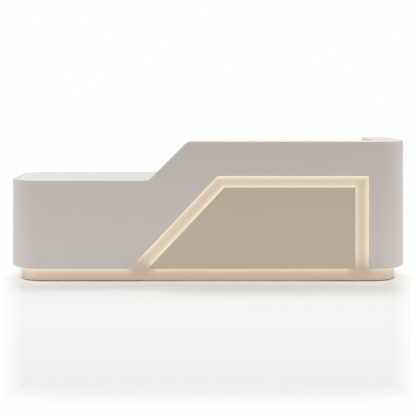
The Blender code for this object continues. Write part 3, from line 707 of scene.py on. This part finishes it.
def grommetRing(side, centre):  # a flanged tube with a lip that carries the cap
    node = f"grommet_ring_{side}"
    low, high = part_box(node)
    flange, tall, deep = (high.x - low.x) / 2, high.z - centre[2], low.z - centre[2]
    tube, bore, lip, space = [grommet[key] for key in ("tube", "bore", "lip", "space")]
    corners = [(tube, deep), (tube, space), (flange, space), (flange, tall), (bore, tall)]
    corners += [(bore, 0), (bore - lip, 0), (bore - lip, -lip), (bore, -2 * lip), (bore, deep)]
    foot, lipRound = grommet["footRound"], grommet["lipRound"]
    radii = [foot, 0, grommet["flangeFoot"], grommet["flangeEdge"], grommet["mouth"]]
    radii += [0, lipRound, lipRound, 0, foot]
    section = roundedOutline(corners, radii, grommet["facet"])
    mesh = turnedRing(section, centre, grommet["steps"])
    addPiece(camel(node), *mesh, finishes["dark_plastic"], "desk", [node], "dark_plastic")


def grommetCap(side, centre):  # a disc with a cable slot cut in from its rim
    node = f"grommet_cap_{side}"
    low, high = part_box(node)
    radius, half = (high.x - low.x) / 2, grommet["slotWidth"] / 2
    opening = math.asin(half / radius)
    angle = np.linspace(math.pi / 2 + opening, math.pi * 5 / 2 - opening, grommet["steps"])
    rim = radius * np.stack([np.cos(angle), np.sin(angle)], 1)
    floor = radius - grommet["slotDepth"]
    corners = np.concatenate([rim, [(half, floor), (-half, floor)]]) + centre[:2]
    radii = np.zeros(len(corners))
    radii[[0, -3]] = grommet["rimCorner"]
    radii[-2:] = grommet["slotCorner"]
    outline = roundedOutline(corners, radii)
    mesh = sweptBoard(outline, np.ones(len(outline)), (low.z, high.z), "Z", grommet["capRounds"])
    piece = addPiece(camel(node), *mesh, finishes["dark_plastic"], f"cap_{side}", [node], "dark_plastic")
    steadyNormals(piece)


for side in ("left", "right"):
    low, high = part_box(f"grommet_ring_{side}")
    centre = np.array([(low.x + high.x) / 2, (low.y + high.y) / 2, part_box("staff_worktop")[1].z])
    grommetRing(side, centre)
    grommetCap(side, centre)
print("grommets: two rings with turning caps")


# Fixings

heads = {
    "lines": (0.12, 0.17, 0.34, 0.52, 0.58, 0.80, 1.0),  # of the grid, as shares of the radius
    "slot": 0.12,
    "arm": 0.52,
    "dome": 0.7,
    "crossRise": 0.25,
    "sink": 0.0002,
}
hingeScrews = {
    "count": 6,
    "end": 0.034,
    "fromAxis": 0.0132,
    "space": 0.0003,
    "radius": 0.0034,
    "rise": 0.00024,
}
driverScrews = {"ear": 0.018, "plate": 0.003, "spread": 0.014, "radius": 0.0042, "rise": 0.0016}
drawerScrews = {"wall": 0.0015, "across": 0.115, "edge": 0.022, "radius": 0.0045, "rise": 0.0014}
facings = {
    "+X": [(0, 1, 0), (0, 0, 1), (1, 0, 0)],
    "-X": [(0, 0, 1), (0, 1, 0), (-1, 0, 0)],
    "+Y": [(0, 0, 1), (1, 0, 0), (0, 1, 0)],
    "-Y": [(1, 0, 0), (0, 0, 1), (0, -1, 0)],
}


def screwHeads(name, spots, facing, look, body):
    # a square grid goes to a disc as (u sqrt(1 - v v / 2), v sqrt(1 - u u / 2)); the height is
    # rise (1 - dome r r), and a cross is sunk between the grid's own lines; a flat copy closes it below
    half = np.array(heads["lines"])
    line = np.concatenate([-half[::-1], half])
    u, v = np.meshgrid(line, line, indexing="ij")
    x, y = u * np.sqrt(1 - v * v / 2), v * np.sqrt(1 - u * u / 2)
    thin, long = heads["slot"] + tolerance["point"], heads["arm"] + tolerance["point"]
    cross = ((abs(u) < thin) & (abs(v) < long)) | ((abs(v) < thin) & (abs(u) < long))
    rise = look["rise"] * (1 - heads["dome"] * (x * x + y * y)) * np.where(cross, heads["crossRise"], 1.0)
    flat = np.full_like(rise, -heads["sink"])
    disc = np.stack([x, y], 2) * look["radius"]
    layers = [np.dstack([disc, height]).reshape(-1, 3) for height in (rise, flat)]
    count = len(line)
    index = np.arange(count * count).reshape(count, count)
    square = np.stack([index[:-1, :-1], index[1:, :-1], index[1:, 1:], index[:-1, 1:]], 2).reshape(-1, 4)
    rim = np.concatenate([index[:-1, 0], index[-1, :-1], index[:0:-1, -1], index[0, :0:-1]])
    below = count * count
    skirt = np.stack([np.roll(rim, -1), rim, rim + below, np.roll(rim, -1) + below], 1)
    one = np.concatenate([square, square[:, ::-1] + below, skirt])
    shape = np.concatenate(layers) @ np.array(facings[facing], float)
    verts = (np.asarray(spots, float)[:, None] + shape).reshape(-1, 3)
    faces = (np.arange(len(spots))[:, None, None] * len(shape) + one).reshape(-1, 4)
    addPiece(name, verts, faces.tolist(), finishes["brushed_steel"], body, slot="brushed_steel")


def hingeFixings(side, way):
    joints = {joint["name"]: joint for joint in frame["record"]["behaviour"]["joints"]}
    axisX, axisY, _ = joints[f"door_{side}_swing"]["pos_m"]
    low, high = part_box(f"hinge_frame_leaf_{side}")
    levels = np.linspace(low.z + hingeScrews["end"], high.z - hingeScrews["end"], hingeScrews["count"])
    for owner, turn, body in (("Frame", -way, "desk"), ("Door", way, f"door_{side}")):
        x = axisX + turn * hingeScrews["space"]
        spots = [(x, axisY - hingeScrews["fromAxis"], level) for level in levels]
        name = f"hingeScrews{owner}{side.capitalize()}"
        screwHeads(name, spots, "-X" if turn > 0 else "+X", hingeScrews, body)


def driverFixings():
    low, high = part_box("led_driver")
    inset = driverScrews["ear"] / 2
    middle = (low.z + high.z) / 2
    levels = (middle - driverScrews["spread"], middle + driverScrews["spread"])
    spots = [(x, low.y + driverScrews["plate"], z) for x in (low.x + inset, high.x - inset) for z in levels]
    screwHeads("driverScrews", spots, "+Y", driverScrews, "desk")


def drawerFixings(drawer):  # inside the tray, through its front wall into the front
    low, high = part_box(f"drawer_box_{drawer}")
    middle = (low.x + high.x) / 2
    across = (middle - drawerScrews["across"], middle + drawerScrews["across"])
    levels = (low.z + drawerScrews["edge"], high.z - drawerScrews["edge"])
    spots = [(x, high.y - drawerScrews["wall"], z) for x in across for z in levels]
    screwHeads(f"drawerScrews{drawer.capitalize()}", spots, "-Y", drawerScrews, f"drawer_{drawer}")


inletPins = {
    "depth": 0.022,
    "length": 0.017,
    "radius": 0.0011,
    "footRound": 0.0001,
    "tip": 0.98,  # the round of the tip, as a share of the radius
    "steps": 24,
    "spots": ((-0.0032, -0.0022), (0.0032, -0.0022), (0.0, 0.0030)),
}


def inletContacts():  # three straight pins with half round tips
    low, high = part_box("led_driver")
    start = high.x - driverScrews["ear"] - inletPins["depth"]
    middle = np.array([(low.y + driverScrews["plate"] + high.y) / 2, (low.z + high.z) / 2])
    angle = np.linspace(0, 2 * math.pi, inletPins["steps"] + 1)[:-1]
    ring = inletPins["radius"] * np.stack([np.cos(angle), np.sin(angle)], 1)
    span = (start, start + inletPins["length"])
    rounds = (inletPins["footRound"], inletPins["radius"] * inletPins["tip"])
    weights = np.ones(len(angle))
    pins = [sweptBoard(ring + middle + spot, weights, span, "X", rounds) for spot in inletPins["spots"]]
    verts = np.concatenate([verts for verts, _ in pins])
    size = len(verts) // len(pins)
    faces = [[corner + i * size for corner in face] for i, (_, some) in enumerate(pins) for face in some]
    addPiece("inletPins", verts, faces, finishes["brushed_steel"], "desk", slot="brushed_steel")


hingeFixings("left", 1)
hingeFixings("right", -1)
driverFixings()
for drawer in ("top", "middle", "bottom"):
    drawerFixings(drawer)
inletContacts()
print("fixings: hinge, driver and drawer screws, inlet pins")


# Stage

view = {"eye": (0.0, -6.892, 1.366), "lens": 75.55, "sensor": 36.0, "shiftY": -0.2611}
studio = {
    "ambient": 0.27,
    "overhead": 0.32,
    "overheadPower": 4.0,
    "key": 11.9,  # a soft lamp over the staff side, which throws the shadow forward
    "keyTilt": 18.0,  # degrees back from straight overhead
    "keyPower": 80.0,
    "fill": 1.21,  # a wide lamp above the visitor
    "fillTilt": -45.0,
    "fillPower": 6.0,
    "sides": 3.6,  # a panel at each end
    "sidesPower": 4.0,  # of x squared
    "behind": 0.30,
    "horizon": 25.0,  # how steeply the light comes in above the floor's level
}


def studioWorld():
    # soft light from all round and from wide lamps, each a power of the share of the ray that points to it;
    # the camera, reflections and clear pieces see a plain white
    world = bpy.data.worlds.new("studio")
    bpy.context.scene.world = world
    paint = Paint(world)
    x, y, z = paint.place("Generated")
    rise, aft = z.positive(), y.positive()
    light = studio["ambient"] + studio["overhead"] * rise ** studio["overheadPower"]
    for lamp in ("key", "fill"):
        tilt = math.radians(studio[f"{lamp}Tilt"])
        aimed = (y * math.sin(tilt) + z * math.cos(tilt)).positive()
        light = light + studio[lamp] * aimed ** studio[f"{lamp}Power"]
    light = light + studio["sides"] * (x * x) ** studio["sidesPower"] + studio["behind"] * (aft * aft)
    light = light * (rise * studio["horizon"]).maths("MINIMUM", 1.0)
    kinds = ("Camera", "Glossy", "Transmission")
    rays = [paint.node("ShaderNodeLightPath", out=f"Is {kind} Ray") for kind in kinds]
    seen = rays[0].maths("MAXIMUM", rays[1]).maths("MAXIMUM", rays[2])
    background = paint.tree.nodes["Background"]
    background.inputs["Color"].default_value = (1.0, 1.0, 1.0, 1.0)
    paint.feed(background.inputs["Strength"], light + seen * (1 - light))


stage = {
    "floor": (0.84, 0.84, 0.835),
    "nearFloor": (0.785, 0.785, 0.78),  # towards the camera: painted shade, the floor's colour darker as it nears the camera
    "nearFrom": -1.5,
    "nearRun": -1.1,
    "low": (-5.0, -3.05),
    "high": (5.0, 5.0),
    "middle": -1.0,
    "reach": (1.60, 1.987),
    "power": 4.0,
    "whiteFrom": 0.65,
    "whiteTo": 1.0,
    "spread": 0.2383,  # half the width that the camera sees, for each metre away from it
    "edgeFrom": 0.62,
    "edgeTo": 0.965,
}
pool = {  # the strips' light on the floor round the plinth
    "colour": (0.240, 0.220, 0.193),
    "start": 0.010,
    "fade": 0.070,
    "round": 0.185,
    "tail": 0.50,  # it dies away over this length at each end
}


def floorFade(x, y):  # 0 round the desk to 1 beyond a squarish oval or at the edges of what the camera sees
    across, along = x / stage["reach"][0], (y - stage["middle"]) / stage["reach"][1]
    far = across ** stage["power"] + along ** stage["power"]
    far = (far - stage["whiteFrom"]) / (stage["whiteTo"] - stage["whiteFrom"])
    framed = x / ((y - view["eye"][1]) * stage["spread"])
    edge = (framed ** stage["power"] - stage["edgeFrom"]) / (stage["edgeTo"] - stage["edgeFrom"])
    return far.maths("MAXIMUM", edge).clamped()


def floorPool(x, y):  # light by the distance to the plinth, taken as a box with round front corners
    low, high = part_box("plinth_front")
    aside = (x.maths("ABSOLUTE") - (high.x - pool["round"])).positive()
    ahead = (low.y + pool["round"] - y).positive()
    gap = (aside * aside + ahead * ahead).maths("SQRT") - pool["round"]
    start, tail = gap / pool["start"], (high.y - y) / pool["tail"]
    return gap.fading(pool["fade"]) * start.clamped() * tail.clamped()


def studioFloor():  # a pale sweep that is lit by the studio, with painted shade towards the camera and the strips' light painted round the plinth, and that fades to the white behind it
    (x0, y0), (x1, y1) = stage["low"], stage["high"]
    mesh = bpy.data.meshes.new("floor")
    mesh.from_pydata([(x0, y0, 0), (x1, y0, 0), (x1, y1, 0), (x0, y1, 0)], [], [(0, 1, 2, 3)])
    floor = bpy.data.objects.new("floor", mesh)
    bpy.context.scene.collection.objects.link(floor)
    paint = newPaint("floor")
    x, y, _ = paint.place()
    camera = paint.node("ShaderNodeLightPath", out="Is Camera Ray")
    # painted shade: the floor's colour darkens towards the camera
    near = ((y - stage["nearFrom"]) / stage["nearRun"]).clamped()
    colour = paint.mix(near, stage["floor"], stage["nearFloor"])
    light = paint.scaled(pool["colour"], floorPool(x, y) * camera)
    paint.principled(Base_Color=colour, Roughness=1.0, Specular_IOR_Level=0.0)
    paint.principled(Emission_Color=light, Emission_Strength=1.0)
    matt = Wire(paint, paint.tree.nodes["Principled BSDF"].outputs[0])
    white = paint.node("ShaderNodeEmission", sockets={"Strength": 1.0})
    both = paint.node("ShaderNodeMixShader", sockets={0: floorFade(x, y) * camera, 1: matt, 2: white})
    paint.feed(paint.tree.nodes["Material Output"].inputs["Surface"], both)
    mesh.materials.append(paint.owner)


def photoCamera():  # level, in front of the middle, with the frame shifted down
    data = bpy.data.cameras.new("camera")
    data.lens = view["lens"]
    data.sensor_width = view["sensor"]
    data.shift_y = view["shiftY"]
    camera = bpy.data.objects.new("camera", data)
    camera.location = view["eye"]
    camera.rotation_euler = (math.pi / 2, 0.0, 0.0)
    bpy.context.scene.collection.objects.link(camera)
    bpy.context.scene.camera = camera


studioWorld()
studioFloor()
photoCamera()
bpy.context.scene.view_settings.view_transform = "Standard"
print("stage: floor, soft studio light and camera")
